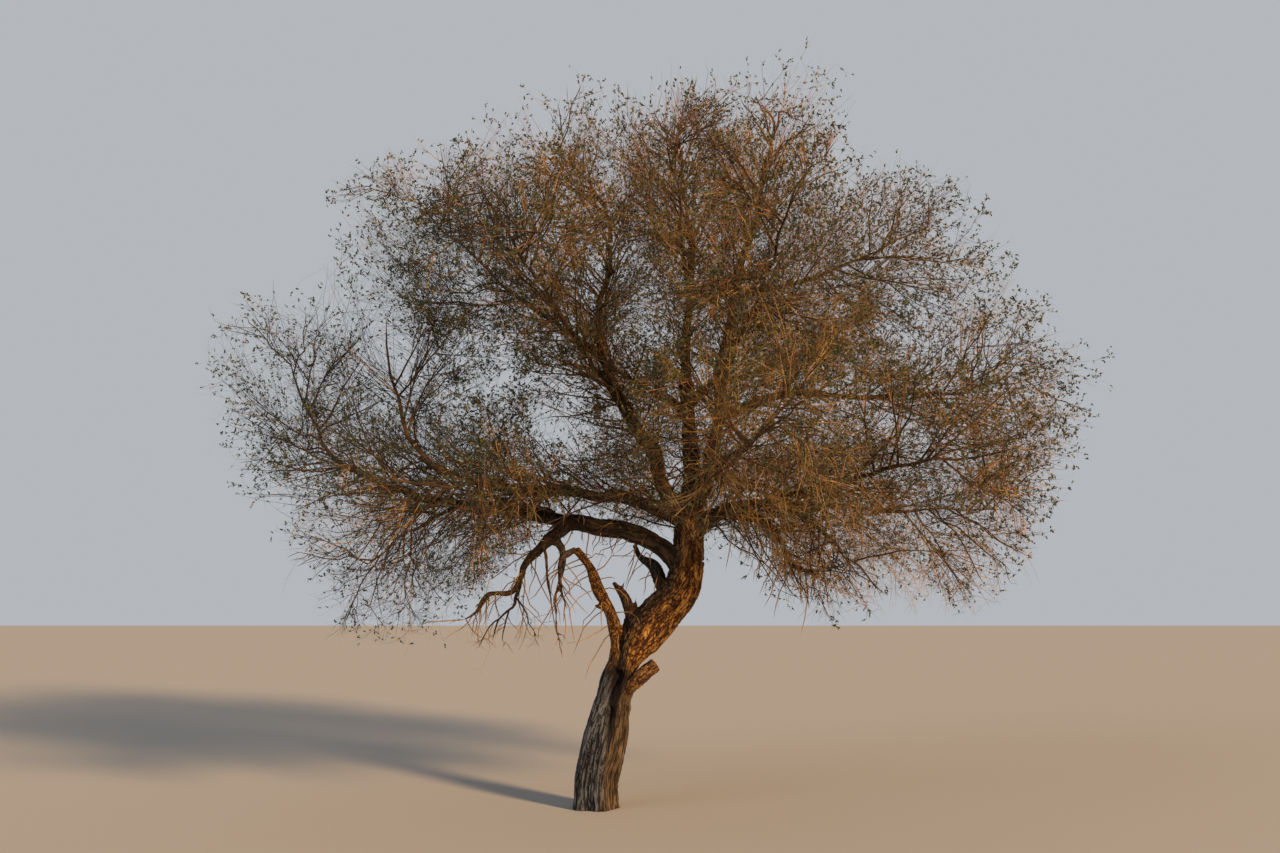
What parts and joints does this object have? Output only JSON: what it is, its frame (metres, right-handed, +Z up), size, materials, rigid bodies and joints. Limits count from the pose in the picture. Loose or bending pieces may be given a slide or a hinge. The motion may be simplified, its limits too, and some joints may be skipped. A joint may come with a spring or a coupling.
{
  "type": "acacia tree",
  "caption": "A lone acacia with a short leaning trunk, a fork of gnarled limbs and a wide, open crown of fine drooping twigs and small leaves.",
  "frame": {"origin": "middle of the flat cut under the trunk, at ground level", "axes": "+Z up along the height of the tree, +X to the right as it is usually seen, +Y away from that viewer"},
  "size_m": [6.8303, 5.5312, 5.7898],
  "materials": {
    "weathered_bark": "furrowed grey-brown bark, dull",
    "brown_bark": "flaking tan-brown bark, dull",
    "dead_wood": "bare weathered wood, dull",
    "foliage": "fine golden-brown twigs with small olive leaves",
    "dry_twigs": "leafless straw-coloured twigs"
  },
  "bodies": {
    "root": {"trunk": "weathered_bark", "great_limb": "brown_bark", "upper_stem": "brown_bark", "slender_limb": "brown_bark", "slender_limb_tip": "dead_wood", "dead_snag": "dead_wood", "broken_stub": "dead_wood", "hooked_limb": "dead_wood", "arch_bough": "brown_bark", "arch_bough_end": "brown_bark", "forearm_bough": "brown_bark", "forearm_knot": "dead_wood", "gnarled_spur": "dead_wood", "long_left_bough": "brown_bark", "left_leader": "brown_bark", "centre_leader": "brown_bark", "right_leader": "brown_bark", "crooked_bough": "brown_bark", "left_drooping_bough": "brown_bark", "front_left_low_bough": "brown_bark", "front_low_bough": "brown_bark", "front_right_low_bough": "brown_bark", "right_low_bough": "brown_bark", "right_hanging_bough": "brown_bark", "back_right_low_bough": "brown_bark", "back_low_bough": "brown_bark", "back_left_low_bough": "brown_bark", "front_left_middle_bough": "brown_bark", "front_middle_bough": "brown_bark", "right_middle_bough": "brown_bark", "back_right_middle_bough": "brown_bark", "back_left_middle_bough": "brown_bark", "upper_left_bough": "brown_bark", "upper_right_bough": "brown_bark", "upper_front_bough": "brown_bark", "upper_back_bough": "brown_bark", "far_left_foliage": "foliage", "left_drooping_foliage": "foliage", "forearm_hanging_foliage": "dry_twigs", "front_left_low_foliage": "foliage", "front_low_foliage": "foliage", "front_right_low_foliage": "foliage", "right_low_foliage": "foliage", "right_hanging_foliage": "foliage", "back_right_low_foliage": "foliage", "back_low_foliage": "foliage", "back_left_low_foliage": "foliage", "left_middle_foliage": "foliage", "front_left_middle_foliage": "foliage", "front_middle_foliage": "foliage", "right_middle_foliage": "foliage", "back_right_middle_foliage": "foliage", "back_left_middle_foliage": "foliage", "upper_left_foliage": "foliage", "upper_right_foliage": "foliage", "upper_front_foliage": "foliage", "upper_back_foliage": "foliage", "top_left_foliage": "foliage", "top_centre_foliage": "foliage", "top_right_foliage": "foliage"}
  },
  "joints": []
}
